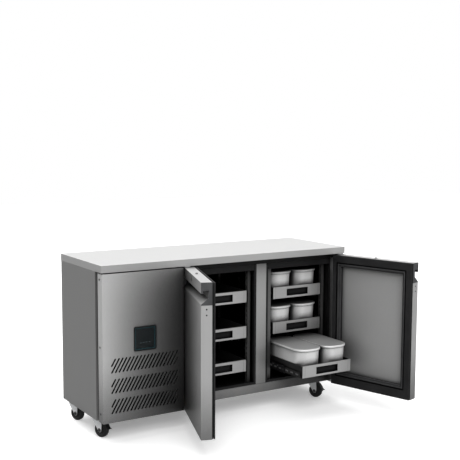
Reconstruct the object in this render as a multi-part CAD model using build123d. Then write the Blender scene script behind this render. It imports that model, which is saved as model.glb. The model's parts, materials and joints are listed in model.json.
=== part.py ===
from build123d import *
import os
import math

# Undercounter refrigerator: two-door stainless counter on castors with a service bay at the left.
# It is modelled with X along the front from the left end, Y from the door face to the back and
# Z up from the floor, with both doors and one tray open. The files are written with the origin
# at the centre of that pose's plan, at floor level. All lengths are in mm.

# ------------------------------------------------------------------ driving dimensions
WIDTH = 1430.0
WORKTOP_DEPTH = 505.0
HEIGHT = 855.0             # floor to worktop surface
WORKTOP_EDGE = 35.0
UNDER_TOP = HEIGHT - WORKTOP_EDGE
CASE_TOP = UNDER_TOP - 0.3
BODY_BASE = 104.0          # underside of the cabinet
BODY_BACK = 500.0          # rear face of the cabinet
FRONT_Y = 66.0             # plane the door gaskets close against
SHEET = 1.2                # usual sheet thickness
MULLION_X0, MULLION_X1 = 900.0, 961.0
OPENING_L0, OPENING_L1 = 483.0, 887.0    # left bay opening
OPENING_R0 = 968.0                       # left side of the right bay opening
LINER_X0, LINER_X1 = 481.0, 1383.0
LINER_BACK = 458.0
LINER_Z0, LINER_Z1 = 151.0, 791.0
FRAME_Z0 = 152.4           # foot of the mullion and racking

# Doors: pairs are left door, right door
DOOR_X = ((440.0, 928.0), (934.0, 1426.0))
DOOR_Z0, DOOR_Z1 = 104.0, 814.0
DOOR_BACK = 50.0           # rear of the door metal
GASKET_Y = 64.8            # gasket face on a closed door
HINGE_Y = 14.0             # hinge axis behind the door's outer face
HINGE_IN = 18.0            # hinge axis in from the door's hinge edge
HINGE_X = (DOOR_X[0][0] + HINGE_IN, DOOR_X[1][1] - HINGE_IN)
REST_TURN = (-109.66, 106.48)            # degrees from closed
PIN_R = 5.0
PIN_GAP = 0.06
LOCK_X = (sum(DOOR_X[0]) / 2 - 5, sum(DOOR_X[1]) / 2 - 7)
LOCK_Y = 24.0              # lock bolt
LOCK_Z = DOOR_Z1 - 20      # lock barrel

# Trays
TRAY_Y = 94.0              # closed tray front
TRAY_W, TRAY_D, TRAY_H = 311.0, 350.0, 61.5
TRAY_Z = {"upper": 588.5, "middle": 400.3, "lower": 221.3}    # undersides
TRAY_RIGHT = {"left": 857.0, "right": 1337.0}                 # right sides in each bay
TRAY_OUT = {"right_lower": 270.0}                             # travel in the rest pose
SLIDE_W = 12.5

pieces = {}


# ------------------------------------------------------------------ helpers
def block(x0, x1, y0, y1, z0, z1):
    return Pos((x0 + x1) / 2, (y0 + y1) / 2, (z0 + z1) / 2) * Box(x1 - x0, y1 - y0, z1 - z0)


def rod(centre, radius, length, axis="z"):
    turned = {"x": Rot(0, 90, 0), "y": Rot(90, 0, 0), "z": Rot(0, 0, 0)}[axis]
    return Pos(*centre) * turned * Cylinder(radius, length)


def front_plane(x, y, z):
    # sketch axes: across the front and up
    return Plane(origin=(x, y, z), x_dir=(1, 0, 0), z_dir=(0, -1, 0))


def prism_x(points, x0, x1):
    # points are (y, z)
    plane = Plane(origin=(x0, 0, 0), x_dir=(0, 1, 0), z_dir=(1, 0, 0))
    profile = plane * make_face(Polyline(*points, close=True))
    return extrude(profile, amount=x1 - x0, dir=(1, 0, 0))


def prism_y(points, y0, y1):
    # points are (x, z)
    profile = front_plane(0, y0, 0) * make_face(Polyline(*points, close=True))
    return extrude(profile, amount=y1 - y0, dir=(0, 1, 0))


def rounded_y(x0, x1, z0, z1, radius, y0, y1):
    plane = front_plane((x0 + x1) / 2, y0, (z0 + z1) / 2)
    profile = plane * RectangleRounded(x1 - x0, z1 - z0, radius)
    return extrude(profile, amount=y1 - y0, dir=(0, 1, 0))


def rounded_z(x0, x1, y0, y1, radius, z0, z1):
    plane = Plane(origin=((x0 + x1) / 2, (y0 + y1) / 2, z0), x_dir=(1, 0, 0), z_dir=(0, 0, 1))
    profile = plane * RectangleRounded(x1 - x0, y1 - y0, radius)
    return extrude(profile, amount=z1 - z0, dir=(0, 0, 1))


def span(datum, side, near, far):
    # X limits of the stretch near..far from a datum, towards side +1 or -1
    return sorted((datum + side * near, datum + side * far))


def solids_of(shapes):
    return [solid for shape in shapes for solid in shape.solids()]


def group(shapes):
    return Compound(children=solids_of(shapes))


def put(name, *shapes, place=Pos(0, 0, 0)):
    pieces[name] = [place * solid for solid in solids_of(shapes)]


# ------------------------------------------------------------------ worktop and outer case
def worktop():
    top = block(0, WIDTH, 0, WORKTOP_DEPTH, UNDER_TOP, HEIGHT)
    top = fillet(top.edges().filter_by(Axis.Z), 3.0)
    top = fillet(top.faces().sort_by(Axis.Z)[-1].edges(), 1.6)
    top -= block(SHEET, WIDTH - SHEET, SHEET, WORKTOP_DEPTH - SHEET,
                 UNDER_TOP + SHEET, HEIGHT - 1.5)
    # open underside, leaving a folded return all round
    fold = 24
    top -= block(fold, WIDTH - fold, fold, WORKTOP_DEPTH - fold, UNDER_TOP - 1, HEIGHT - 10)
    for x in LOCK_X:
        # clearance for the lock bolt
        top -= block(x - 9, x + 9, 12, 40, UNDER_TOP - 1, HEIGHT - 12)
    return top


def end_panel(outer_x, side):
    # folded sheet: outer face, front, bottom and rear returns
    front, back = 72.0, BODY_BACK - 2
    panel = block(*span(outer_x, side, 0, SHEET), front, back, BODY_BASE, CASE_TOP)
    panel += block(*span(outer_x, side, 0, 24), front, front + SHEET, BODY_BASE, CASE_TOP)
    panel += block(*span(outer_x, side, 0, 24), front, back, BODY_BASE, BODY_BASE + SHEET)
    panel += block(*span(outer_x, side, 0, 16), back - SHEET, back, BODY_BASE, CASE_TOP)
    return panel


def rear_panel():
    panel = block(1.5, WIDTH - 1.5, BODY_BACK - 1.6, BODY_BACK, BODY_BASE, CASE_TOP)
    return panel - group(
        block(60 + 22 * i, 70 + 22 * i, BODY_BACK - 5, BODY_BACK + 5, 560, 700)
        for i in range(15))


def base_panel():
    panel = block(26, WIDTH - 26, 66.5, BODY_BACK - 5, BODY_BASE, BODY_BASE + 1.5)
    return panel - group(
        block(70 + 26 * i, 84 + 26 * i, 180, 400, BODY_BASE - 5, BODY_BASE + 5)
        for i in range(12))


def bulkhead():
    # wall between the service bay and the cold compartment, with a front fold
    wall = block(433.8, 435.0, 67.0, BODY_BACK - 5, BODY_BASE + 1.6, CASE_TOP)
    wall += block(433.8, 452, 66.2, 67.4, 151.5, 790)
    return wall


put("worktop", worktop())
put("end_panels", end_panel(0.0, 1), end_panel(WIDTH, -1))
put("case_panels", rear_panel(), base_panel(), bulkhead())


# ------------------------------------------------------------------ cold compartment
def inner_liner():
    outside = block(LINER_X0, LINER_X1, FRONT_Y + 0.3, LINER_BACK, LINER_Z0, LINER_Z1)
    return outside - block(LINER_X0 + 1, LINER_X1 - 1, FRONT_Y - 5, LINER_BACK - 1,
                           LINER_Z0 + 1, LINER_Z1 - 1)


def insulation():
    gap = 0.3
    foam = block(436, WIDTH - 2, 82, BODY_BACK - 4, BODY_BASE + 2, CASE_TOP - 0.6)
    foam -= block(LINER_X0 - gap, LINER_X1 + gap, 60, LINER_BACK + gap,
                  LINER_Z0 - gap, LINER_Z1 + gap)
    # clear of the front, rear and bottom folds of the right end panel
    foam -= block(WIDTH - 30, WIDTH, 60, 90, 90, 830)
    foam -= block(WIDTH - 20, WIDTH, BODY_BACK - 12, BODY_BACK, 90, 830)
    foam -= block(WIDTH - 26, WIDTH - 1, 60, BODY_BACK, 90, BODY_BASE + 3)
    return foam


def front_frame():
    # mullion, bottom rail and the two side posts
    face_y = (FRONT_Y, FRONT_Y + SHEET)
    side_y = (FRONT_Y, FRONT_Y + 14)
    fold_y = (FRONT_Y, FRONT_Y + 15)
    high = (FRAME_Z0, 789.6)
    mullion = block(MULLION_X0, MULLION_X1, *face_y, *high)
    mullion += (block(MULLION_X0, MULLION_X0 + SHEET, *side_y, *high)
                + block(MULLION_X1 - SHEET, MULLION_X1, *side_y, *high))
    across = (452.5, WIDTH - 26)
    foot = BODY_BASE + 2
    rail = block(*across, *face_y, foot, 151)
    rail += block(*across, *fold_y, 148.5, 149.7) + block(*across, *fold_y, foot, foot + SHEET)
    post_z = (151.5, 790)
    left = block(453, OPENING_L0 - 2.5, *face_y, *post_z)
    right = block(1383.5, 1404.5, *face_y, *post_z) + block(1403.3, 1404.5, *fold_y, *post_z)
    return mullion, rail, left, right


def breaker_frame():
    # black plastic around both bays and behind the top edge of the doors
    left_end, right_start = MULLION_X0 - 0.4, MULLION_X1 + 0.4
    strips = [block(440, 1405, FRONT_Y + 0.2, FRONT_Y + 12, 792, 818)]
    # bottom strips: x limits of the thin front lip, then of the body
    for lip, body in (((481.2, left_end), (483, left_end)),
                      ((right_start, 1382.6), (right_start, 1381))):
        strips.append(block(*lip, FRONT_Y - 0.2, FRONT_Y, 152.2, 164.5)
                      + block(*body, FRONT_Y, FRONT_Y + 16, 153, 164.5))
    # upright strips: x limits, depth
    for x0, x1, depth in ((OPENING_L1, left_end, 18), (right_start, OPENING_R0 + 4, 18),
                          (482.4, 487, 16), (1376.5, 1381.6, 16)):
        strips.append(block(x0, x1, FRONT_Y, FRONT_Y + depth, 165, 788))
    # top strips
    for x0, x1 in ((487.5, MULLION_X0 - 14), (MULLION_X1 + 12, 1376)):
        strips.append(block(x0, x1, FRONT_Y + 0.4, FRONT_Y + 14, 758, 789))
    return strips


def upright(x0, y0, side):
    # slotted channel, its web towards +X or -X by side, standing on a closed foot
    wall, depth = 1.5, 24
    x1 = x0 + (20 if side > 0 else 15)
    y1 = y0 + depth
    open_x = (x0 - 1, x1 - wall) if side > 0 else (x0 + wall, x1 + 1)
    post = block(x0, x1, y0, y1, 170, 753)
    post -= block(*open_x, y0 + wall, y1 - wall, 160, 760)
    web_x = x1 if side > 0 else x0
    post -= group(block(web_x - 3, web_x + 3, y0 + 9, y0 + 15, z, z + 14)
                  for z in [182 + 25 * k for k in range(23)])
    post += (block(x0, x1, y0, y1, FRAME_Z0, 171)
             - block(x0 + wall, x1 - wall, y0 + wall, y1 - wall, 154, 169.5))
    return post


def racking():
    # a front and a rear pair in each bay
    posts = []
    for tray_right in TRAY_RIGHT.values():
        for x0, side in ((tray_right - TRAY_W - SLIDE_W - 20, 1), (tray_right + SLIDE_W, -1)):
            posts += [upright(x0, y0, side) for y0 in (100.0, 400.0)]
    return posts


put("inner_liner", inner_liner())
put("insulation_foam", insulation())
put("front_frame", *front_frame())
put("breaker_frame", *breaker_frame())
put("racking_uprights", *racking())


# ------------------------------------------------------------------ trays, slides and pans
SLIDE_Y0 = TRAY_Y + 14
SLIDE_Y1 = SLIDE_Y0 + 330
PAN_Y = TRAY_Y + 183       # pan centre in a closed tray
PAN_H = 128.5


def channel(tray_x, side, lip, web, z, half, y0, y1):
    # web's outer face and lip edge are offsets out from the tray side; half is half its height
    shape = block(*span(tray_x, side, web - SHEET, web), y0, y1, z - half, z + half)
    shape += block(*span(tray_x, side, lip, web), y0, y1, z + half - SHEET, z + half)
    shape += block(*span(tray_x, side, lip, web), y0, y1, z - half, z - half + SHEET)
    return shape


def tray_shell(x0, x1, z0):
    z1 = z0 + TRAY_H
    y0, y1 = TRAY_Y, TRAY_Y + TRAY_D
    shell = block(x0, x1, y0, y0 + SHEET, z0, z1)
    # finger slot in the front, with a pressed cup behind it
    slot_x0, slot_x1 = x0 + 0.28 * TRAY_W, x0 + 0.73 * TRAY_W
    slot_z0, slot_z1 = z1 - 51.2, z1 - 13.5
    shell -= rounded_y(slot_x0, slot_x1, slot_z0, slot_z1, 2, y0 - 5, y0 + 5)
    shell += (rounded_y(slot_x0 - SHEET, slot_x1 + SHEET, slot_z0 - SHEET, slot_z1 + SHEET, 3,
                        y0 + 1.1, y0 + 13)
              - rounded_y(slot_x0, slot_x1, slot_z0, slot_z1, 2, y0, y0 + 11.8))
    # top fold, sides, back and floor
    shell += block(x0, x1, y0, y0 + 10, z1 - SHEET, z1)
    shell += block(x0, x0 + SHEET, y0, y1, z0, z1) + block(x1 - SHEET, x1, y0, y1, z0, z1)
    shell += block(x0, x1, y1 - SHEET, y1, z0, z1)
    shell += block(x0, x1, y0, y1, z0, z0 + SHEET)
    # shallow seams where the front meets the folded side pieces
    for seam in (x0 + 15.5, x1 - 16.3):
        shell -= block(seam, seam + 0.8, y0 - 1, y0 + 0.4, z0 - 1, z1 + 1)
    return shell


def pan_slab(x, half_x, half_y, radius, z0, z1):
    return rounded_z(x - half_x, x + half_x, PAN_Y - half_y, PAN_Y + half_y, radius, z0, z1)


def pan_loft(x, bottom, top):
    # bottom and top are (z, width, depth, corner radius)
    return loft([Plane(origin=(x, PAN_Y, z)) * RectangleRounded(width, depth, radius)
                 for z, width, depth, radius in (bottom, top)])


def pan(x, z):
    rim_z = z + PAN_H
    body = pan_loft(x, (z, 138, 312, 54), (rim_z, 148, 324, 58))
    body -= pan_loft(x, (z + 1.2, 135.6, 309.6, 52.8), (rim_z + 0.5, 145.6, 321.6, 56.8))
    rim = pan_slab(x, 78.5, 165.5, 62, rim_z - 1.2, rim_z)
    rim -= pan_slab(x, 72.9, 160.9, 57, rim_z - 4, rim_z + 6)
    body += rim
    return body


def lid(x, z):
    rim_z = z + PAN_H
    cover = pan_slab(x, 81, 167, 64, rim_z + 0.2, rim_z + 11)
    cover = fillet(cover.faces().sort_by(Axis.Z)[-1].edges(), 5.5)
    cover = fillet(cover.faces().sort_by(Axis.Z)[0].edges(), 2.5)
    return cover - pan_slab(x, 76, 162, 59, rim_z - 4, rim_z + 8.5)


def put_tray(bay, level):
    # stores the tray with its moving parts and returns the two fixed slide members
    key = bay + "_" + level
    x1 = TRAY_RIGHT[bay]
    x0 = x1 - TRAY_W
    z0 = TRAY_Z[level]
    slide_z = z0 + 13.5
    fixed, middle, inner = [], [], []
    for x, side in ((x0, -1), (x1, 1)):
        fixed.append(channel(x, side, 2.2, SLIDE_W, slide_z, 22.5, SLIDE_Y0, SLIDE_Y1))
        member = channel(x, side, 1.8, 8.6, slide_z, 19.5, SLIDE_Y0, SLIDE_Y1 - 4)
        member -= rod((x + side * 8, SLIDE_Y0 + 14, slide_z), 4.0, 6, "x")
        middle.append(member)
        inner.append(channel(x, side, 0.3, 6.2, slide_z, 14.0, SLIDE_Y0 - 2, SLIDE_Y1 - 6))
    out = TRAY_OUT.get(key, 0.0)
    pulled = Pos(0, -out, 0)
    put("tray_" + key, tray_shell(x0, x1, z0), *inner, place=pulled)
    # the middle members run out half as far
    put("tray_" + key + "_mid_slides", *middle, place=Pos(0, -out / 2, 0))
    if bay == "right":
        centres = [(x0 + x1) / 2 + offset for offset in (-82.5, 82.5)]
        pan_z = z0 + 1.5
        put("pans_" + key, *[pan(x, pan_z) for x in centres], place=pulled)
        put("lids_" + key, *[lid(x, pan_z) for x in centres], place=pulled)
    return fixed


fixed_slides = []
for bay in TRAY_RIGHT:
    for level in TRAY_Z:
        fixed_slides += put_tray(bay, level)
put("slide_fixed_members", *fixed_slides)

# ------------------------------------------------------------------ service bay front
PANEL_X0, PANEL_X1 = 4.0, 433.0
SCREW_Y = 29
SCREW_Z = (787.0, 466.0, 146.0)
SLOT_ROWS_Z = (346.0, 248.0, 151.0)
SLOT_COUNT = 19
SLOT_START, SLOT_PITCH, SLOT_W = 30.5, 19.4, 8.0
SLOT_RUN, SLOT_RISE = 37.0, 62.0         # between the end centres of a full slot
SLOT_X0, SLOT_X1 = 49.5, 397.0           # the end slots are cut short here


def slanted_slot(row_z, k):
    x0, z0 = SLOT_START + SLOT_PITCH * k, row_z
    x1, z1 = x0 + SLOT_RUN, row_z + SLOT_RISE
    if k == 0:
        x0, z0 = SLOT_X0, z1 - (x1 - SLOT_X0) * SLOT_RISE / SLOT_RUN
    if k == SLOT_COUNT - 1:
        x1, z1 = SLOT_X1, z0 + (SLOT_X1 - x0) * SLOT_RISE / SLOT_RUN
    length = math.hypot(x1 - x0, z1 - z0)
    tilt = math.degrees(math.atan2(z1 - z0, x1 - x0))
    outline = Rot(0, 0, tilt) * SlotCenterToCenter(length, SLOT_W)
    return extrude(front_plane((x0 + x1) / 2, -3, (z0 + z1) / 2) * outline,
                   amount=8, dir=(0, 1, 0))


def control_block(margin, radius, y0, y1):
    # rounded block drawn in by margin from the control panel's outline
    return rounded_y(164.0 + margin, 281.5 - margin, 434.0 + margin, 550.0 - margin,
                     radius, y0, y1)


def unit_front_panel():
    panel = (block(PANEL_X0, PANEL_X1, 0, 49, DOOR_Z0, DOOR_Z1)
             - block(PANEL_X0 + SHEET, PANEL_X1 - SHEET, SHEET, 60,
                     DOOR_Z0 + SHEET, DOOR_Z1 - SHEET))
    panel = fillet(panel.edges().filter_by(Axis.Z).sort_by(Axis.Y)[0:2], 1.0)
    panel -= group(slanted_slot(z, k) for z in SLOT_ROWS_Z for k in range(SLOT_COUNT))
    panel -= control_block(6, 4, -3, 5)
    for z in SCREW_Z:
        panel -= rod((PANEL_X0, SCREW_Y, z), 2.3, 6, "x")
    return panel


def panel_screw(z):
    # shank and head with a cross slot, in the panel's left side
    screw = (rod((PANEL_X0 + 2.6, SCREW_Y, z), 2.1, 9, "x")
             + rod((PANEL_X0 - 1.0, SCREW_Y, z), 4.0, 1.9, "x"))
    slot_x = (PANEL_X0 - 2.5, PANEL_X0 - 1.2)
    screw -= (block(*slot_x, SCREW_Y - 0.5, SCREW_Y + 0.5, z - 3, z + 3)
              + block(*slot_x, SCREW_Y - 3, SCREW_Y + 3, z - 0.5, z + 0.5))
    return screw


def control_panel():
    bezel = control_block(0, 7, -3.0, -0.05)
    bezel += control_block(7, 3, -0.5, 24)
    bezel -= control_block(10, 3, 2, 30)
    bezel -= control_block(9, 4, -4, -2.0)
    bezel -= control_block(9, 4, -2.5, -0.9)
    display = control_block(9.4, 3.6, -1.95, -1.0)
    return bezel, display


put("unit_front_panel", unit_front_panel())
put("panel_screws", *[panel_screw(z) for z in SCREW_Z])
put("control_panel", *control_panel())

# ------------------------------------------------------------------ refrigeration unit
FAN_X, FAN_Y, FAN_Z = 216, 141.4, 275


def compressor():
    # hermetic shell on a base plate, with four rubber feet
    x, y = 235.0, 300.0
    shell = Pos(x, y, 118) * extrude(Ellipse(88, 72), amount=118)
    shell = fillet(shell.edges().filter_by(GeomType.ELLIPSE), 30)
    shell += (block(x - 100, x + 100, y - 62, y + 62, 114, 117)
              + block(x - 50, x + 50, y - 40, y + 40, 116, 130))
    shell += rod((x, y - 76, 185), 16, 22, "y")
    feet = [rod((x + dx, y + dy, 109.8), 10, 8) for dx in (-85, 85) for dy in (-50, 50)]
    return [shell] + feet


def condenser():
    # finned block, hairpin tube ends on its right, and the fan shroud behind
    fins = block(70, 370, 88, 128, 130, 420)
    fins -= group(block(60, 380, 80, 124, 134 + 7.2 * k, 138.6 + 7.2 * k) for k in range(40))
    half_ring = (Circle(12) - Circle(5)) & (Pos(10, 0) * Rectangle(20, 30))
    hairpin = Rot(90, 0, 0) * extrude(half_ring, amount=7)
    hairpins = [Pos(370.4, 106, 158 + 32 * k) * hairpin for k in range(8)]
    shroud = block(66, 366, 128.5, 159, 126, 424) - block(68, 364, 130, 162, 128, 422)
    shroud -= rod((FAN_X, 129, FAN_Z), 108, 12, "y")
    shroud += (rod((FAN_X, 139.5, FAN_Z), 112, 22, "y")
               - rod((FAN_X, 139.5, FAN_Z), 108, 40, "y"))
    # cross bar carrying the fan motor
    shroud += block(67, 365, 155, 158, FAN_Z - 4, FAN_Z + 4)
    shroud += rod((FAN_X, 169, FAN_Z), 26, 22, "y") + rod((FAN_X, 155, FAN_Z), 11.8, 6, "y")
    return [fins] + hairpins + [shroud]


def fan_blades():
    fan = rod((FAN_X, FAN_Y, FAN_Z), 20, 10, "y")
    blade = Pos(58, 0, 0) * Rot(28, 0, 0) * Box(76, 2.2, 46)
    for k in range(5):
        fan += Pos(FAN_X, FAN_Y, FAN_Z) * Rot(0, 72 * k, 0) * blade
    return fan


def evaporator():
    # slotted housing between the bays, finned coil inside, hollow stand below
    housing = (block(MULLION_X0 - 7, MULLION_X1 + 7, 90, 440, 300, 720)
               - block(MULLION_X0 - 5.8, MULLION_X1 + 5.8, 91.2, 438.8, 301.2, 718.8))
    for z0, z1 in ((620, 700), (320, 380)):
        housing -= group(
            block(MULLION_X0 - 10, MULLION_X1 + 10, 120 + 24 * k, 134 + 24 * k, z0, z1)
            for k in range(12))
    coil = block(MULLION_X0 + 2, MULLION_X1 - 2, 120, 410, 400, 600)
    coil -= group(block(MULLION_X0 - 1, MULLION_X1 - 4, 126 + 11 * k, 134 + 11 * k, 395, 605)
                  for k in range(25))
    stand = (block(MULLION_X0, MULLION_X1, 100, 430, FRAME_Z0, 299.8)
             - block(MULLION_X0 + SHEET, MULLION_X1 - SHEET, 101.2, 428.8, 150, 298.6))
    return housing, coil, stand


def pipe(radius, *points):
    path = FilletPolyline(*points, radius=radius * 3)
    return sweep(Plane(origin=path @ 0, z_dir=path % 0) * Circle(radius), path=path)


def refrigerant_pipes():
    drier = rod((60, 330, 400), 12, 120) + rod((60, 330, 400), 4, 160)
    return [
        pipe(4, (330, 300, 200), (372, 300, 200), (372, 250, 200), (372, 250, 470),
             (372, 400, 470)),
        pipe(3, (150, 360, 470), (350, 360, 470), (350, 420, 470), (350, 420, 200)),
        pipe(3, (120, 200, 440), (120, 200, 500), (300, 200, 500), (300, 330, 500)),
        drier,
    ]


def electrical_box():
    box = block(40, 250, 160, 330, 600, 740) - block(42, 248, 162, 328, 602, 742)
    cover = block(40, 250, 160, 330, 740.2, 742.2)
    mount = block(60, 230, 200, 290, 742.4, 819)
    mount -= block(62, 228, 190, 300, 744.4, 817)
    return box, cover, mount


put("compressor", *compressor())
put("condenser", *condenser())
put("condenser_fan_blades", fan_blades())
put("evaporator", *evaporator())
put("refrigerant_pipes", *refrigerant_pipes())
put("electrical_box", *electrical_box())


# ------------------------------------------------------------------ hinges fixed to the cabinet
def hinge_pair(x):
    # plates below and above the door edge, each with a pin into the door
    across = (x - 17, x + 17)
    lower = block(*across, 2, 100, 96.5, 100.5)
    lower = fillet(lower.edges().filter_by(Axis.Z), 5)
    lower += block(*across, 67.6, 96, 100.4, 103.8)
    lower += rod((x, HINGE_Y, 107), PIN_R, 18) + rod((x, HINGE_Y, 101.8), 9, 3.4)
    upper = block(*across, 4, 65, 815.6, 819.6)
    upper = fillet(upper.edges().filter_by(Axis.Z), 5)
    upper += rod((x, HINGE_Y, 809), PIN_R, 18)
    return [lower, upper]


put("hinge_brackets", *hinge_pair(HINGE_X[0]), *hinge_pair(HINGE_X[1]))

# ------------------------------------------------------------------ doors
PULL_FOOT = 712.0          # plain door below, finger pull profile above
PULL_Y = 33.0              # depth of the finger pull
PULL_TOP = DOOR_Z1 - 36
LIP_Y, LIP_Z = 9, DOOR_Z1 - 49           # back and foot of the lip over the pull
CAP_T = 3.0                # end cap thickness


def pull_outline(inset):
    # (y, z) side profile of the door top; an inset one runs out through the open back
    back = 60 if inset else DOOR_BACK
    slope_drop = inset * 0.474
    return [
        (inset, PULL_FOOT - 0.2), (inset, 716 - slope_drop), (PULL_Y + inset, 743 - slope_drop),
        (PULL_Y + inset, PULL_TOP + inset), (LIP_Y - inset, PULL_TOP + inset),
        (LIP_Y - inset, LIP_Z + inset), (inset, LIP_Z + inset),
        (inset, DOOR_Z1 - inset), (back, DOOR_Z1 - inset), (back, PULL_FOOT - 0.2),
    ]


CAP_OUTLINE = [            # (y, z), open at the pull like the door profile
    (0.2, 712.2), (0.2, 716), (PULL_Y, 743), (PULL_Y, PULL_TOP), (LIP_Y, PULL_TOP),
    (LIP_Y, LIP_Z), (0.2, LIP_Z), (0.2, DOOR_Z1 - 1.2), (1.2, DOOR_Z1),
    (DOOR_BACK, DOOR_Z1), (DOOR_BACK, 712.2),
]


def door_skin(x0, x1, hinge_x, free_x, lock_x):
    skin = block(x0, x1, 0, DOOR_BACK, DOOR_Z0, PULL_FOOT)
    skin = fillet(skin.edges().filter_by(Axis.Z).sort_by(Axis.Y)[0:2], 1.5)
    skin += prism_x(pull_outline(0.0), x0 + 3.2, x1 - 3.2)
    cavity = block(x0 + SHEET, x1 - SHEET, SHEET, 60, DOOR_Z0 + SHEET, PULL_FOOT - 0.1)
    cavity += prism_x(pull_outline(SHEET), x0 + 4.4, x1 - 4.4)
    skin -= cavity
    # hinge bosses closing the cavity around each pin
    boss = (hinge_x - 12, hinge_x + 12, 2, 27)
    skin += block(*boss, DOOR_Z0, DOOR_Z0 + 18) + block(*boss, DOOR_Z1 - 18, DOOR_Z1)
    skin -= (rod((hinge_x, HINGE_Y, DOOR_Z0 + 6), PIN_R + PIN_GAP, 24)
             + rod((hinge_x, HINGE_Y, DOOR_Z1 - 6), PIN_R + PIN_GAP, 24))
    # back return of the skin, under the black frame
    edge = SHEET / 2
    fold = block(x0 + edge, x1 - edge, DOOR_BACK - SHEET, DOOR_BACK,
                 DOOR_Z0 + edge, DOOR_Z1 - edge)
    fold -= block(x0 + 31, x1 - 31, 40, 60, DOOR_Z0 + 50, DOOR_Z1 - 45)
    fold -= (block(x0 - 1, x0 + 3.2, 40, 60, PULL_FOOT, 820)
             + block(x1 - 3.2, x1 + 1, 40, 60, PULL_FOOT, 820))
    skin += fold
    # two small screw slots near the top of the free edge
    for drop in (18.0, 44.0):
        z = PULL_FOOT - drop
        skin -= block(free_x - 3, free_x + 3, 22, 28, z - 3, z + 3)
    # holes for the lock barrel and its bolt
    skin -= rod((lock_x, 0, LOCK_Z), 8.1, 20, "y")
    skin -= block(lock_x - 5.2, lock_x + 5.2, LOCK_Y - 5.2, LOCK_Y + 5.2,
                  DOOR_Z1 - 5, DOOR_Z1 + 5)
    return skin


def seal_block(x0, x1, inset, y0, y1):
    # block drawn in by inset from the gasket's outer rectangle
    return block(x0 + 32 + inset, x1 - 32 - inset, y0, y1, 152 + inset, 776 - inset)


def door_frame(x0, x1, hinge_at_left):
    # set in further at the hinge edge than at the free edge
    left, right = (8.0, 1.0) if hinge_at_left else (1.0, 8.0)
    x0_in, x1_in = x0 + left, x1 - right
    z0, z1 = DOOR_Z0 + 2, DOOR_Z1 - 2
    frame = block(x0_in, x1_in, DOOR_BACK + 0.1, GASKET_Y, z0, z1)
    frame -= seal_block(x0, x1, -0.2, 40, 70)
    # groove round the outer edge
    frame -= (block(x0_in - 1, x1_in + 1, DOOR_BACK + 5, DOOR_BACK + 8, z0 - 1, z1 + 1)
              - block(x0_in + 2.5, x1_in - 2.5, 40, 70, z0 + 2.5, z1 - 2.5))
    return frame


def door_gasket(x0, x1):
    gasket = seal_block(x0, x1, 0, DOOR_BACK + 0.1, GASKET_Y + 0.8)
    gasket -= seal_block(x0, x1, 24, 40, 70)
    # two grooves in the sealing face
    for inset in (5.0, 13.0):
        gasket -= (seal_block(x0, x1, inset, GASKET_Y - 4, 70)
                   - seal_block(x0, x1, inset + 4.5, 40, 71))
    return gasket


def door_inner_panel(x0, x1):
    # dished stainless sheet with a flange
    panel = (seal_block(x0, x1, 18, 34.8, DOOR_BACK)
             - seal_block(x0, x1, 19, 35.8, 60))
    panel += (block(x0 + 34, x1 - 34, DOOR_BACK - 2.3, DOOR_BACK - 1.3, 156, 772)
              - seal_block(x0, x1, 18.5, 35, 60))
    return panel


def lock_barrel(x):
    barrel = rod((x, 8.2, LOCK_Z), 8.0, 18, "y") + rod((x, -1.4, LOCK_Z), 10.0, 2.4, "y")
    return barrel - block(x - 1.0, x + 1.0, -4, 3, LOCK_Z - 4.5, LOCK_Z + 4.5)


def lock_bolt(x):
    bolt = block(x - 5, x + 5, LOCK_Y - 5, LOCK_Y + 5, DOOR_Z1 - 24, 819.3)
    return chamfer(bolt.faces().sort_by(Axis.Z)[-1].edges(), 1.5)


for side, (x0, x1), hinge_x, lock_x, angle in zip(
        ("left", "right"), DOOR_X, HINGE_X, LOCK_X, REST_TURN):
    hinge_at_left = side == "left"
    free_x = x1 if hinge_at_left else x0
    opened = Pos(hinge_x, HINGE_Y, 0) * Rot(0, 0, angle) * Pos(-hinge_x, -HINGE_Y, 0)
    door, lock = "door_" + side, "lock_" + side
    put(door + "_skin", door_skin(x0, x1, hinge_x, free_x, lock_x), place=opened)
    put(door + "_inner_panel", door_inner_panel(x0, x1), place=opened)
    put(door + "_frame", door_frame(x0, x1, hinge_at_left), place=opened)
    put(door + "_gasket", door_gasket(x0, x1), place=opened)
    put(door + "_end_caps", *[prism_x(CAP_OUTLINE, x, x + CAP_T) for x in (x0, x1 - CAP_T)],
        place=opened)
    put(lock + "_barrel", lock_barrel(lock_x), place=opened)
    put(lock + "_bolt", lock_bolt(lock_x), place=opened)

# ------------------------------------------------------------------ castors
CASTORS = {                # swivel axes, (x, y)
    "front_left": (42.0, 148.0), "front_right": (1334.0, 148.0),
    "rear_left": (42.0, 453.0), "rear_right": (1334.0, 453.0),
}
ROLL_TURN = math.degrees(math.atan2(-0.9075, 0.42))    # swivel axis to wheel centre
WHEEL_R = 37.5
TRAIL = 22.0               # wheel axle out from the swivel axis
CHEEK_OUTLINE = [          # (x, z)
    (-20, 91), (34, 91), (TRAIL + 11, 36), (TRAIL + 6, 27), (TRAIL - 6, 27), (TRAIL - 11, 36),
]
PEDAL_OUTLINE = [          # (x, z)
    (34.2, 91.4), (48, 88), (64, 82), (76, 70), (79, 57),
    (74, 56), (69, 66), (58, 75), (46, 80), (34.2, 86),
]


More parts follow.
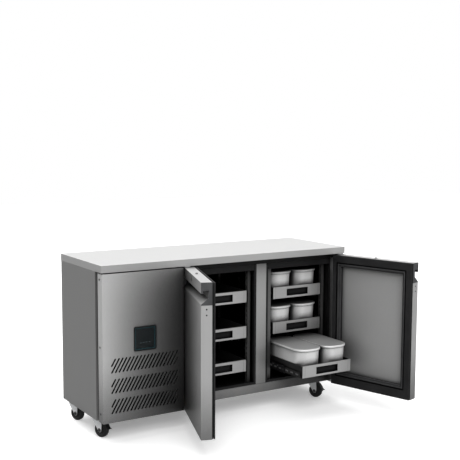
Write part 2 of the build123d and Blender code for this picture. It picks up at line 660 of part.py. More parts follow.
def castor_plate(x, y):
    # plate with swivel boss and stem, and four bolts
    corners = [(x + dx, y + dy) for dx in (-24, 24) for dy in (-30, 30)]
    plate = rounded_z(x - 32, x + 32, y - 38, y + 38, 6, BODY_BASE - 3.2, BODY_BASE - 0.2)
    plate -= group(rod((*corner, BODY_BASE), 3.3, 20) for corner in corners)
    plate += rod((x, y, 97.2), 20, 8) + rod((x, y, 92), 6.0, 12) + rod((x, y, 85.2), 9.0, 2.4)
    bolts = [rod((*corner, 101.0), 2.9, 5.8) + rod((*corner, 98.8), 5.0, 3.6)
             for corner in corners]
    return [plate] + bolts


def axle_rod(y, radius, length):
    return rod((TRAIL, y, WHEEL_R), radius, length, "y")


def castor_fork():
    # swivel axis at the origin, wheel towards +X
    fork = block(-26, 34, -18.5, 18.5, 87, 91.6)
    fork = fillet(fork.edges().filter_by(Axis.Z), 14)
    fork += rod((0, 0, 91.9), 22, 2.0)
    for y in (-18.5, 16.0):
        fork += prism_y(CHEEK_OUTLINE, y, y + 2.5)
    fork -= rod((0, 0, 90), 6.06, 20)
    # axle with its end heads, then a washer inside each
    fork += axle_rod(0, 4.0, 44) + axle_rod(-20.6, 7.5, 4.2) + axle_rod(20.6, 7.5, 4.2)
    fork += axle_rod(-19.4, 11, 1.8) + axle_rod(19.4, 11, 1.8)
    return fork


def castor_wheel():
    wheel = axle_rod(0, WHEEL_R, 25)
    wheel = fillet(wheel.edges().filter_by(GeomType.CIRCLE), 4.0)
    wheel -= axle_rod(-14, 24, 10) + axle_rod(14, 24, 10)
    wheel += axle_rod(0, 11, 30)
    wheel -= axle_rod(0, 4.06, 60)
    return wheel


fork, wheel = castor_fork(), castor_wheel()
# brake pedal over the tread at the outer end of the fork
pedal = prism_y(PEDAL_OUTLINE, -13, 13)
for name, (x, y) in CASTORS.items():
    swivelled = Pos(x, y, 0) * Rot(0, 0, ROLL_TURN)
    put("castor_%s_fork" % name, fork, pedal, place=swivelled)
    put("castor_%s_wheel" % name, wheel, place=swivelled)
put("castor_plates", *[part for x, y in CASTORS.values() for part in castor_plate(x, y)])

# ------------------------------------------------------------------ recentre and export
boxes = [solid.bounding_box() for solids in pieces.values() for solid in solids]
low = [min(getattr(box.min, axis) for box in boxes) for axis in "XYZ"]
high = [max(getattr(box.max, axis) for box in boxes) for axis in "XYZ"]
to_origin = Pos(-(low[0] + high[0]) / 2, -(low[1] + high[1]) / 2, -low[2])

os.makedirs("parts", exist_ok=True)
for name, solids in pieces.items():
    moved = [to_origin * solid for solid in solids]
    shape = moved[0] if len(moved) == 1 else Compound(children=moved)
    export_step(shape, "parts/%s.step" % name)
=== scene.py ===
"""A two-door refrigerated counter on castors, with its doors open and pan trays on slides.

X runs to the right along the front, the front faces -Y and Z is up; the floor is at z = 0.
The CAD pieces get procedural materials. Gaskets, door trim, slide pressings, cup liners and
castors are built here. Lengths are metres, but the door and castor sections use millimetres.
"""
import bpy
import bmesh
import json
import math
from mathutils import Vector, Matrix


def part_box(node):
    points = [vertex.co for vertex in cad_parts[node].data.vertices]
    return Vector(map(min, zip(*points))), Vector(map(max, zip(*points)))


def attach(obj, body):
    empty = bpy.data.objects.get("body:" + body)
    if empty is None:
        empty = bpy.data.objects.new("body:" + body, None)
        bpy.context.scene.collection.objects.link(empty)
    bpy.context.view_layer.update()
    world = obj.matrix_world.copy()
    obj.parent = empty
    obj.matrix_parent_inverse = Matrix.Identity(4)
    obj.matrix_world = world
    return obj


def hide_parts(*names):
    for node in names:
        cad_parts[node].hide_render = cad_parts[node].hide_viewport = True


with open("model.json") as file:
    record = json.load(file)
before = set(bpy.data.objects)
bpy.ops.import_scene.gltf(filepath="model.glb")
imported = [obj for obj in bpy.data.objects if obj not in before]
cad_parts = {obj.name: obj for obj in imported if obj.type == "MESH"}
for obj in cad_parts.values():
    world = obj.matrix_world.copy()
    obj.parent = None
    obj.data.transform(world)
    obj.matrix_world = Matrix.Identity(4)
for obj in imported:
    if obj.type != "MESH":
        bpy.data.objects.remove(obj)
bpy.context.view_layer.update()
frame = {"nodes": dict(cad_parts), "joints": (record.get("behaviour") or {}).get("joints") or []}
nodes = frame["nodes"]
joints = {joint["name"]: joint for joint in frame["joints"]}
scene = bpy.context.scene

MM = 0.001
UP = Vector((0, 0, 1))
SIDES = ("left", "right")
LEVELS = ("upper", "middle", "lower")
TRAYS = ["%s_%s" % (side, level) for side in SIDES for level in LEVELS]
CORNERS = ("front_left", "front_right", "rear_left", "rear_right")

HINGE = {side: Vector(joints["door_%s_hinge" % side]["pos_m"]) for side in SIDES}
MIRROR = {"left": 1.0, "right": -1.0}  # the right door is the left one mirrored in X
OPEN = {
    side: MIRROR[side] * math.radians(joints["door_%s_hinge" % side]["range_deg"][0])
    for side in SIDES
}


# ---------------------------------------------------------------- node helpers
class Tree:
    """A cleared node tree with short ways to add and link nodes."""

    def __init__(self, tree):
        self.tree = tree
        tree.nodes.clear()

    def feed(self, socket, value):
        """Link a socket to another, or give it a number, vector or RGB colour."""
        if isinstance(value, (int, float)):
            socket.default_value = value
        elif isinstance(value, tuple):
            socket.default_value = (*value, 1.0) if socket.type == "RGBA" else value
        else:
            self.tree.links.new(value, socket)

    def node(self, kind, inputs=None, **settings):
        node = self.tree.nodes.new("ShaderNode" + kind)
        for name, value in settings.items():
            setattr(node, name, value)
        for key, value in (inputs or {}).items():
            self.feed(node.inputs[key], value)
        return node

    def calc(self, operation, a, b=0.0):
        return self.node("Math", {0: a, 1: b}, operation=operation).outputs[0]

    def ramp(self, value, low=0.0, high=1.0, start=0.3, end=0.7, **settings):
        """Map start..end of a value to low..high, held level beyond."""
        limits = {"From Min": start, "From Max": end, "To Min": low, "To Max": high}
        return self.node("MapRange", {**limits, "Value": value}, **settings).outputs[0]

    def split(self, vector):
        return self.node("SeparateXYZ", {0: vector}).outputs


class Material(Tree):
    """A Principled material textured in object space."""

    def __init__(self, name):
        self.material = bpy.data.materials.new(name)
        self.material.use_nodes = True
        super().__init__(self.material.node_tree)
        output = self.node("OutputMaterial")
        self.shader = self.node("BsdfPrincipled")
        self.feed(output.inputs[0], self.shader.outputs[0])
        self.place = self.node("TexCoord").outputs["Object"]

    def noise(self, scale, detail, rough=0.6, warp=0.0, turn=0.0):
        """Noise at one scale, or one per axis, in a frame turned about Z."""
        scale = scale if isinstance(scale, tuple) else (scale,) * 3
        turned = self.node(
            "VectorRotate", {"Angle": turn, "Vector": self.place}, rotation_type="Z_AXIS")
        place = self.node(
            "VectorMath", {0: turned.outputs[0], 1: scale}, operation="MULTIPLY")
        return self.node("TexNoise", {
            "Scale": 1.0, "Detail": detail, "Roughness": rough, "Distortion": warp,
            "Vector": place.outputs[0],
        }).outputs[0]

    def mix(self, factor, a, b):
        return self.node("Mix", {0: factor, 6: a, 7: b}, data_type="RGBA").outputs[2]

    def dim(self, colour, factor):
        return self.node(
            "VectorMath", {0: colour, "Scale": factor}, operation="SCALE").outputs[0]

    def shade(self, reach, power, lowest):
        """Painted shade: a colour factor from ambient occlusion, 1 in the open, down to lowest
        in grooves and corners where surfaces come close.
        """
        open_sky = self.node("AmbientOcclusion", {"Distance": reach}, samples=12)
        curve = self.calc("POWER", open_sky.outputs["AO"], power)
        return self.calc("ADD", self.calc("MULTIPLY", curve, 1.0 - lowest), lowest)

    def relief(self, height, strength, edge):
        """Fine relief over edges that look rounded to the radius edge."""
        rounded = self.node("Bevel", {"Radius": edge}, samples=4)
        return self.node("Bump", {
            "Strength": strength, "Distance": 0.0002,
            "Height": height, "Normal": rounded.outputs[0],
        }).outputs[0]

    def offset(self, value, centre):
        return self.calc("ABSOLUTE", self.calc("SUBTRACT", value, centre))

    def finish(self, inputs):
        for name, value in inputs.items():
            self.feed(self.shader.inputs[name], value)
        return self.material


def times(colour, factor):
    return tuple(factor * part for part in colour)


# ---------------------------------------------------------------- kinds of material
# The two painted-shade settings, a first and a nearer second, are (reach in metres, power,
# lowest) for Material.shade;
# edge is the radius that edges are softened to; tone makes a socket that scales the colour, for
# painted light and shade.
STEEL_TINT = (1.0, 1.0, 0.995)


def steel(name, base, rough=0.32, grain="Z", turn=0.0, aniso=0.35, streak=0.012, smudge=0.012,
          edge=0.0009, metallic=0.6, painted_shade=None, painted_shade_near=None, bump=0.02, tone=None):
    """Brushed stainless sheet: fine lines along the grain, faint smears, soft folded edges."""
    m = Material(name)
    axis = "XYZ".index(grain)

    def per_axis(along, across):
        return tuple(along if i == axis else across for i in range(3))

    fine = m.noise(per_axis(along=3.0, across=900.0), detail=2.0, turn=-turn)
    coarse = m.noise(per_axis(along=0.8, across=120.0), detail=3.0, turn=-turn)
    smear = m.noise(3.0, detail=3.0, rough=0.5, warp=0.6, turn=-turn)
    fine_share, coarse_share = 0.6, 0.4
    lines = m.calc("ADD", m.calc("MULTIPLY", fine, fine_share),
                   m.calc("MULTIPLY", coarse, coarse_share))

    colour = m.mix(m.ramp(lines, start=0.35, end=0.65),
                   times(STEEL_TINT, base * (1 - streak)),
                   times(STEEL_TINT, base * (1 + streak)))
    smear_tone = 0.85
    colour = m.mix(m.ramp(smear, high=0.08, start=0.45, end=0.75),
                   colour, times(STEEL_TINT, base * smear_tone))
    # painted shade: the colour is darkened in grooves and corners, at two reaches when both are
    # given
    if painted_shade:
        painted_shade_factor = m.shade(*painted_shade)
        if painted_shade_near:
            painted_shade_factor = m.calc("MULTIPLY", painted_shade_factor, m.shade(*painted_shade_near))
        colour = m.dim(colour, painted_shade_factor)
    # painted light and shade: tone scales the colour
    if tone:
        colour = m.dim(colour, tone(m))

    line_rough = m.ramp(lines, low=rough - 0.02, high=rough + 0.02)
    smear_rough = m.ramp(smear, low=-smudge * 0.5, high=smudge, start=0.35)
    grain_vector = m.node("CombineXYZ", dict(enumerate(per_axis(along=1.0, across=0.0))))
    tangent = m.node("VectorTransform", {0: grain_vector.outputs[0]},
                     vector_type="VECTOR", convert_from="OBJECT", convert_to="WORLD")
    return m.finish({
        "Base Color": colour, "Metallic": metallic, "Anisotropic": aniso,
        "Roughness": m.calc("ADD", line_rough, smear_rough),
        "Tangent": tangent.outputs[0],
        "Normal": m.relief(lines, strength=bump, edge=edge),
    })


def plastic(name, colour, rough=0.45, grain=900.0, bump=0.12, vary=0.25, spec=0.5, painted_shade=None):
    """Moulded plastic: a fine grain with paler specks, and cloudy changes of tone."""
    m = Material(name)
    speck = m.noise(grain, detail=3.0)
    cloud = m.noise(9.0, detail=4.0, warp=0.5)
    paler = tuple(min(1, part * 1.8 + 0.01) for part in colour)
    mixed = m.mix(m.ramp(cloud, start=0.35), times(colour, 1 - vary), times(colour, 1 + vary))
    mixed = m.mix(m.ramp(speck, high=0.25, start=0.45, end=0.8), mixed, paler)
    # painted shade: colour and specular level are darkened in grooves and corners
    if painted_shade:
        painted_shade_factor = m.shade(*painted_shade)
        mixed = m.dim(mixed, painted_shade_factor)
        spec = m.calc("MULTIPLY", painted_shade_factor, spec)
    return m.finish({
        "Base Color": mixed, "Specular IOR Level": spec,
        "Roughness": m.ramp(cloud, low=rough - 0.06, high=rough + 0.08),
        "Normal": m.relief(speck, strength=bump, edge=0.0008),
    })


def metal(name, colour, rough=0.3, scale=300.0, spangle=0.0, metallic=1.0):
    """Plated or bare metal with a cloudy tone and crystal spangles."""
    m = Material(name)
    cloud = m.noise(scale, detail=3.0)
    crystals = m.node("TexVoronoi", {"Scale": 140.0, "Vector": m.place})
    mixed = m.mix(m.ramp(cloud), times(colour, 0.9), times(colour, 1.06))
    mixed = m.mix(m.calc("MULTIPLY", crystals.outputs["Distance"], spangle),
                  mixed, times(colour, 0.75))
    return m.finish({
        "Base Color": mixed, "Metallic": metallic,
        "Roughness": m.ramp(cloud, low=rough - 0.06, high=rough + 0.08),
        "Normal": m.relief(cloud, strength=0.05, edge=0.0006),
    })


# ---------------------------------------------------------------- tones over one sheet: painted light and shade, and the control window's print
def painted_light_by_tilt(upright, level, start, end, normal="True Normal"):
    """Painted light and shade by tilt: the colour scales from upright to level as the Z part of
    a face's normal goes from start to end.
    """
    def tone(m):
        tilt = m.split(m.node("NewGeometry").outputs[normal])[2]
        return m.ramp(tilt, low=upright, high=level, start=start, end=end)
    return tone


def painted_shade_behind_front_face(low):
    """Painted shade: dark behind the front face at low.y, except by the folded side at low.x."""
    face_start, face_end, fold = 0.0003, 0.0007, 0.004

    def tone(m):
        x, y, _ = m.split(m.place)
        behind_shade_mask = m.ramp(y, high=0.94, start=low.y + face_start, end=low.y + face_end)
        inside = m.calc("GREATER_THAN", x, low.x + fold)
        return m.calc("SUBTRACT", 1.0, m.calc("MULTIPLY", behind_shade_mask, inside))
    return tone


def tray_steel(name, y_front, z_top):
    """A bright front plate; the rest of the tray has painted shade, with its top edges painted
    lighter.
    """
    painted_shade_share = 0.90  # painted shade: how much is lost behind the front plate

    def tone(m):
        _, y, z = m.split(m.place)
        behind = m.ramp(y, start=y_front + 0.0010, end=y_front + 0.0016)
        # painted highlight: the top edges are lifted out of the painted shade
        lip = m.ramp(z, high=0.42, start=z_top - 0.0008, end=z_top - 0.0003)
        body = m.calc("SUBTRACT", 1.0, m.calc("MULTIPLY", behind, painted_shade_share))
        return m.calc("MAXIMUM", body, lip)
    return steel(name, base=0.50, rough=0.36, grain="X", aniso=0.0, edge=0.0006, tone=tone,
                 painted_shade=(0.16, 1.5, 0.05), painted_shade_near=(0.012, 1.2, 0.3))


def control_window():
    """Black gloss window with a thin teal frame line, four small square marks and smears."""
    m = Material("control_gloss")
    low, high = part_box("control_panel")
    centre_x, centre_z = (low.x + high.x) / 2, (low.z + high.z) / 2
    half_x, half_z = (high.x - low.x) / 2, (high.z - low.z) / 2
    line_inner, line_outer = 0.84, 0.88  # frame line, as shares of the half sizes
    mark_drop, mark_pitch = 0.34, 0.26   # below the centre and sideways, as the same shares
    mark_half = 0.0022
    black, teal, grey = (0.006, 0.008, 0.009), (0.010, 0.040, 0.046), (0.05, 0.07, 0.075)

    x, _, z = m.split(m.place)
    out = m.calc("MAXIMUM",
                 m.calc("DIVIDE", m.offset(x, centre_x), half_x),
                 m.calc("DIVIDE", m.offset(z, centre_z), half_z))
    line = m.calc("MULTIPLY", m.calc("GREATER_THAN", out, line_inner),
                  m.calc("LESS_THAN", out, line_outer))
    colour = m.mix(line, black, teal)
    row = m.calc("LESS_THAN", m.offset(z, centre_z - half_z * mark_drop), mark_half)
    for i in (-1.5, -0.5, 0.5, 1.5):
        column = m.calc(
            "LESS_THAN", m.offset(x, centre_x + i * half_x * mark_pitch), mark_half)
        colour = m.mix(m.calc("MULTIPLY", row, column), colour, grey)
    smear = m.noise(30.0, detail=4.0, warp=1.0)
    return m.finish({
        "Base Color": colour, "Coat Weight": 0.4,
        "Roughness": m.ramp(smear, low=0.10, high=0.24),
        "Normal": m.relief(smear, strength=0.02, edge=0.0012),
    })


# ---------------------------------------------------------------- materials
# painted shade: the worktop's edges are painted darker than its top
WORKTOP = steel("worktop_brushed", base=0.95, rough=0.34, grain="X", aniso=0.3, metallic=0.5,
                streak=0.008, tone=painted_light_by_tilt(upright=0.46, level=1.0, start=0.3, end=0.8))
CASE = steel("case_brushed", base=0.56, painted_shade=(0.3, 1.5, 0.1))
END_PANEL = steel("end_panel_brushed", base=0.31, rough=0.36, painted_shade=(0.15, 1.0, 0.3))
# painted shade: the front is darkened strongly towards the open door, and painted dark behind
# its front face
UNIT_FRONT = steel("front_brushed", base=0.66, rough=0.34, painted_shade=(0.42, 2.6, 0.01),
                   streak=0.008, tone=painted_shade_behind_front_face(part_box("unit_front_panel")[0]))
FRONT_FRAME = steel("frame_brushed", base=0.44, rough=0.34, painted_shade=(0.30, 2.4, 0.02))
LINER = steel("liner_brushed", base=0.10, rough=0.45, painted_shade=(0.30, 2.0, 0.03))
UPRIGHT = steel("upright_steel", base=0.22, rough=0.40, painted_shade=(0.12, 1.5, 0.05), metallic=0.7)
SATIN = dict(aniso=0.0, streak=0.004, smudge=0.006, bump=0.008, metallic=0.5)
PAN = steel("pan_satin", base=0.93, rough=0.33, edge=0.0012,
            painted_shade=(0.10, 1.3, 0.10), painted_shade_near=(0.034, 2.6, 0.04), **SATIN)
# painted shade: the flat of a lid is painted darker than its rolled edge
LID = steel("lid_satin", base=0.95, rough=0.34, grain="Y", edge=0.0025,
            painted_shade=(0.12, 1.3, 0.10), painted_shade_near=(0.030, 2.8, 0.03), **SATIN,
            tone=painted_light_by_tilt(upright=1.0, level=0.55, start=0.80, end=0.98, normal="Normal"))
# painted light: the upper edge of a door is painted brighter than its faces
DOOR = {
    side: steel("door_%s_brushed" % side, base=0.56, turn=OPEN[side], painted_shade=(0.40, 2.2, 0.02),
                tone=painted_light_by_tilt(upright=1.0, level=1.62, start=0.5, end=0.9))
    for side in SIDES
}
INNER_PANEL = {
    side: steel("inner_%s_brushed" % side, base=0.50, rough=0.42, turn=OPEN[side],
                painted_shade=(0.30, 1.3, 0.05))
    for side in SIDES
}

BLACK = plastic("black_plastic", (0.0065, 0.0065, 0.007), rough=0.52, bump=0.06, spec=0.34,
                painted_shade=(0.05, 2.0, 0.02))
DOOR_FRAME = plastic("door_frame_plastic", (0.0125, 0.0125, 0.013), rough=0.46, bump=0.05,
                     spec=0.42, painted_shade=(0.012, 2.5, 0.02))
END_CAP = plastic("cap_plastic", (0.050, 0.051, 0.053), rough=0.48, bump=0.05,
                  painted_shade=(0.05, 2.2, 0.02))
RUBBER = plastic("gasket_rubber", (0.030, 0.030, 0.031), rough=0.50, grain=1400.0, bump=0.05,
                 painted_shade=(0.010, 3.2, 0.01))
TREAD = plastic("castor_tread", (0.012, 0.012, 0.012), rough=0.5, grain=500.0, bump=0.2)
PEDAL = plastic("pedal_plastic", (0.014, 0.014, 0.015), rough=0.36)
ZINC = metal("zinc_plate", (0.80, 0.81, 0.82), rough=0.34, spangle=0.4, metallic=0.5)
SLIDE = metal("slide_zinc", (0.10, 0.10, 0.105), rough=0.42, spangle=0.3)
PRESSED = metal("slide_pressing", (0.30, 0.30, 0.305), rough=0.34, spangle=0.2, metallic=0.8)
LOCK = metal("lock_nickel", (0.36, 0.355, 0.345), rough=0.28)
SCREW = metal("screw_steel", (0.16, 0.16, 0.165), rough=0.4)
FIN = metal("fin_aluminium", (0.006, 0.006, 0.0065), rough=0.6, scale=80.0)
COPPER = metal("copper_tube", (0.72, 0.38, 0.24), rough=0.35, scale=90.0)
ENAMEL = plastic("black_enamel", (0.008, 0.008, 0.008), rough=0.4, grain=200.0, bump=0.06)
GALVANISED = metal("galvanised_sheet", (0.04, 0.041, 0.042), rough=0.42, spangle=0.9)
FOAM = plastic("foam_block", (0.80, 0.72, 0.50), rough=0.85, grain=350.0, bump=0.6, vary=0.06,
               spec=0.2)
CONTROL = control_window()


def assign(table, pattern="%s"):
    for name, material in table.items():
        slots = nodes[pattern % name].data.materials
        slots.clear()
        slots.append(material)


assign({
    "worktop": WORKTOP, "end_panels": END_PANEL, "case_panels": CASE, "inner_liner": LINER,
    "insulation_foam": FOAM, "front_frame": FRONT_FRAME, "breaker_frame": BLACK,
    "racking_uprights": UPRIGHT, "slide_fixed_members": SLIDE, "unit_front_panel": UNIT_FRONT,
    "panel_screws": SCREW, "control_panel": CONTROL, "compressor": ENAMEL, "condenser": FIN,
    "evaporator": FIN, "refrigerant_pipes": COPPER, "electrical_box": GALVANISED,
    "hinge_brackets": ZINC, "castor_plates": ZINC, "condenser_fan_blades": BLACK,
})
for side in SIDES:
    assign({
        "skin": DOOR[side], "inner_panel": INNER_PANEL[side], "frame": DOOR_FRAME,
        "gasket": RUBBER, "end_caps": END_CAP,
    }, "door_" + side + "_%s")
    assign({"barrel": LOCK, "bolt": LOCK}, "lock_" + side + "_%s")
for tray in TRAYS:
    low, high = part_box("tray_" + tray)
    assign({
        tray: tray_steel("tray_steel_" + tray, y_front=low.y, z_top=high.z),
        tray + "_mid_slides": SLIDE,
    }, "tray_%s")
for level in LEVELS:
    assign({"pans": PAN, "lids": LID}, "%s_right_" + level)
for corner in CORNERS:
    assign({"fork": ZINC, "wheel": TREAD}, "castor_" + corner + "_%s")


# ---------------------------------------------------------------- mesh helpers
def add_mesh(name, bm, material, body, smooth=35.0):
    """Turn a bmesh into a smooth-shaded object that moves with a body of the frame."""
    mesh = bpy.data.meshes.new(name)
    bmesh.ops.recalc_face_normals(bm, faces=bm.faces)
    bm.to_mesh(mesh)
    bm.free()
    obj = bpy.data.objects.new(name, mesh)
    scene.collection.objects.link(obj)
    for polygon in mesh.polygons:
        polygon.use_smooth = True
    mesh.set_sharp_from_angle(angle=math.radians(smooth))
    mesh.materials.append(material)
    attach(obj, body)
    return obj


def round_edges(obj, **settings):
    bevel = obj.modifiers.new("round", "BEVEL")
    for name, value in settings.items():
        setattr(bevel, name, value)


def add_ring(bm, points):
    return [bm.verts.new(point) for point in points]


def bridge(bm, ring, following):
    """A band of quads between two closed rings."""
    for i in range(len(ring)):
        j = (i + 1) % len(ring)
        bm.faces.new((ring[i], ring[j], following[j], following[i]))


def bridge_round(bm, rings):
    """Bands through all the rings and back to the first."""
    for ring, following in zip(rings, rings[1:] + rings[:1]):
        bridge(bm, ring, following)


def bridge_capped(bm, rings):
    """Bands from the first ring to the last, with both ends filled."""
    for ring, following in zip(rings[:-1], rings[1:]):
        bridge(bm, ring, following)
    bm.faces.new(rings[0])
    bm.faces.new(list(reversed(rings[-1])))


def prism(bm, near_points, far_points):
    near, far = add_ring(bm, near_points), add_ring(bm, far_points)
    bm.faces.new(near)
    bm.faces.new(list(reversed(far)))
    for i in range(len(near)):
        j = (i + 1) % len(near)
        bm.faces.new((near[i], far[i], far[j], near[j]))


def mirrored(half, middle):
    """A half outline, its middle point, and the half reversed with its second value negated."""
    return half + [middle] + [(a, -b) for a, b in reversed(half)]


# ---------------------------------------------------------------- door gaskets and trims (mm)
HINGE_IN, HINGE_BACK = 18.0, 14.0  # hinge axis from the door's edge and its outer face
DOOR_WIDTH = {"left": 488.0, "right": 492.0}
DOOR_BOTTOM, DOOR_TOP = 120, 808
GASKET_INSET = 32

# closed sections of (inset, depth behind the outer face)
GASKET_SECTION = [
    (0.0, 50.3), (0.0, 58.0), (1.2, 57.0), (4.6, 56.0), (6.0, 56.6), (6.0, 61.0), (6.6, 62.8),
    (8.0, 64.4), (9.6, 65.2), (11.0, 65.4), (12.6, 65.2), (14.2, 64.3), (15.4, 62.6),
    (16.0, 60.6), (17.0, 59.6), (18.4, 59.4), (20.0, 59.0), (22.4, 57.8), (23.6, 56.0),
    (24.0, 53.6), (24.0, 50.3),
]
TRIM_SECTION = [
    (51.3, 36.6), (53.6, 36.6), (54.0, 37.2), (54.0, 49.2), (53.4, 49.8), (51.8, 49.8),
    (51.3, 49.2),
]


def door_point(side, across, depth, z):
    """A point of an open door: across from the hinge edge, depth behind the outer face."""
    hinge, angle = HINGE[side], OPEN[side]
    x = MIRROR[side] * (across - HINGE_IN) * MM
    y = (depth - HINGE_BACK) * MM
    return Vector((hinge.x + x * math.cos(angle) - y * math.sin(angle),
                   hinge.y + x * math.sin(angle) + y * math.cos(angle), z * MM))


def door_sweep(side, margin, section):
    """A section swept with mitred corners round the door's outline less a margin."""
    near, far = margin, DOOR_WIDTH[side] - margin
    bottom, top = DOOR_BOTTOM + margin, DOOR_TOP - margin
    bm = bmesh.new()
    bridge_round(bm, [
        add_ring(bm, [door_point(side, across, depth, z) for across, z in (
            (near + inset, bottom + inset), (far - inset, bottom + inset),
            (far - inset, top - inset), (near + inset, top - inset))])
        for inset, depth in section
    ])
    return bm


for side in SIDES:
    # gasket with a rounded rib and a low inner lip
    gasket = add_mesh("gasket_" + side, door_sweep(side, GASKET_INSET, GASKET_SECTION), RUBBER,
                      "door_" + side, smooth=50)
    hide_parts("door_%s_gasket" % side)
    # thin black trim lining the wall of the dished panel
    trim = add_mesh("dish_trim_" + side, door_sweep(side, 0, TRIM_SECTION), DOOR_FRAME,
                    "door_" + side, smooth=50)

# ---------------------------------------------------------------- slide pressings
# (height, inward shrink) of an oval's rings, as shares of its height and half width
OVAL_RINGS = [(0.0, 0.0), (0.55, 0.0), (0.88, 0.10), (1.0, 0.26)]
OVALS = 7
MID_START, MID_PITCH = 0.040, 0.042        # ovals along a middle member, from its front
RUNNER_START, RUNNER_PITCH = 0.042, 0.044  # ovals along a tray's own runner
RIVET_RISE = 0.0105


def pill(bm, x, facing, y, z, length, width, height):
    """A rounded oval raised from a face at x that looks along facing * X."""
    rings = []
    for rise, shrink in OVAL_RINGS:
        radius = width / 2 * (1 - shrink)
        half = (length - width) / 2
        ring = []
        for centre, start in ((half, -90), (-half, 90)):
            for i in range(9):
                angle = math.radians(start + 22.5 * i)
                ring.append((x + facing * (rise * height),
                             y + centre + radius * math.cos(angle),
                             z + radius * math.sin(angle)))
        rings.append(add_ring(bm, ring))
    bridge_capped(bm, rings)


for tray in TRAYS:
    mid_low, mid_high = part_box("tray_%s_mid_slides" % tray)
    tray_low, tray_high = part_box("tray_" + tray)
    z = (mid_low.z + mid_high.z) / 2
    mid, runner = bmesh.new(), bmesh.new()
    for mid_x, tray_x, facing in (
            (mid_low.x, tray_low.x, -1.0), (mid_high.x, tray_high.x, 1.0)):
        for i in range(OVALS):
            pill(mid, mid_x, facing, mid_low.y + (MID_START + MID_PITCH * i), z,
                 length=0.022, width=0.009, height=0.0011)
            if i < OVALS - 1:  # a rivet above each gap between ovals
                pill(mid, mid_x, facing,
                     mid_low.y + (MID_START + MID_PITCH / 2 + MID_PITCH * i), z + RIVET_RISE,
                     length=0.0062, width=0.0060, height=0.0008)
            pill(runner, tray_x, facing, tray_low.y + (RUNNER_START + RUNNER_PITCH * i), z,
                 length=0.024, width=0.008, height=0.0006)
    obj = add_mesh("slide_pressings_" + tray, mid, PRESSED, "slides_" + tray, smooth=40)
    obj = add_mesh("runner_pressings_" + tray, runner, PRESSED, "tray_" + tray, smooth=40)

# ---------------------------------------------------------------- finger cup liners
RUNNER_THICK = 0.0062               # the tray's box also holds a runner at each end
CUP_LEFT, CUP_RIGHT = 0.28, 0.73    # shares of the tray's width
CUP_GAP = 0.0002
CUP_TOP, CUP_BOTTOM = 0.0137, 0.0510  # below the tray's top
# rings of (inset, depth behind the tray's front, corner radius): outside, then inside
CUP_RINGS = [
    (0.0, 0.0004, 0.0018), (0.0, 0.0115, 0.0018), (0.0010, 0.0117, 0.0016),
    (0.0014, 0.0104, 0.0030), (0.0016, 0.0098, 0.0030), (0.0016, 0.0008, 0.0022),
    (0.0012, 0.0003, 0.0022), (0.0006, 0.0002, 0.0020),
]
CUP_BACK = 2  # the back wall lies between this ring and the next


def cup_liner(low, high):
    """An open box on its side: rounded rectangle walls, a back and a small lip at the mouth."""
    start, width = low.x + RUNNER_THICK, high.x - low.x - 2 * RUNNER_THICK
    left, right = start + CUP_LEFT * width + CUP_GAP, start + CUP_RIGHT * width - CUP_GAP
    bottom, top = high.z - CUP_BOTTOM, high.z - CUP_TOP
    bm = bmesh.new()
    rings = []
    for inset, depth, radius in CUP_RINGS:
        x0, x1 = left + radius + inset, right - radius - inset
        z0, z1 = bottom + radius + inset, top - radius - inset
        points = []
        for x, z, turn in ((x1, z1, 0), (x0, z1, 90), (x0, z0, 180), (x1, z0, 270)):
            for i in range(7):
                angle = math.radians(turn + 15 * i)
                points.append((x + radius * math.cos(angle), low.y + depth,
                               z + radius * math.sin(angle)))
        rings.append(add_ring(bm, points))
    for i, ring in enumerate(rings):
        if i != CUP_BACK:
            bridge(bm, ring, rings[(i + 1) % len(rings)])
    bm.faces.new(rings[CUP_BACK])
    bm.faces.new(list(reversed(rings[CUP_BACK + 1])))
    return bm


for tray in TRAYS:
    liner = add_mesh("cup_liner_" + tray, cup_liner(*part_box("tray_" + tray)), BLACK,
                     "tray_" + tray, smooth=40)

# ---------------------------------------------------------------- castors (mm)
# A castor's own axes are ROLL, the way it points, CROSS along its axle, and up.
ROLL = Vector((0.42, -0.9075, 0.0)).normalized()
CROSS = Vector((-ROLL.y, ROLL.x, 0.0))
TRAIL = 22.0  # axle from the swivel axis, along ROLL
WHEEL_RADIUS = 37.5

# (radius, cross) from the hub out over the tread and back
WHEEL_SECTION = mirrored([
    (4.3, -14.8), (10.5, -14.8), (11.0, -14.2), (11.0, -10.0), (14.0, -8.6), (22.0, -8.6),
    (24.5, -10.0), (26.0, -12.0), (28.0, -12.5),
    (WHEEL_RADIUS - 5.5, -12.5), (WHEEL_RADIUS - 2.2, -11.8), (WHEEL_RADIUS - 0.8, -9.5),
    (WHEEL_RADIUS - 0.1, -5.0),
], middle=(WHEEL_RADIUS, 0.0))
WHEEL_RIBS = 5
RIB_REACH, RIB_SIDES, RIB_DEPTH = (10.8, 24.6), (-1.2, 1.2), (8.3, 10.8)
BOX_FACES = [(0, 1, 3, 2), (4, 6, 7, 5), (0, 4, 5, 1), (2, 3, 7, 6), (0, 2, 6, 4), (1, 5, 7, 3)]

# (radius, cross) of the axle bolt with a head at each end
BOLT_HALF = [
    (0.05, -22.4), (5.0, -22.4), (6.6, -21.4), (6.8, -18.5), (9.6, -18.5), (9.6, -17.4),
    (4.0, -17.4),
]
BOLT_SECTION = BOLT_HALF + [(radius, -cross) for radius, cross in reversed(BOLT_HALF)]
# (radius, height) of the swivel race under the plate
RACE_SECTION = [
    (6.3, 91.3), (21.5, 91.3), (22.6, 91.9), (21.6, 92.6), (16.0, 92.8), (6.3, 92.8),
]

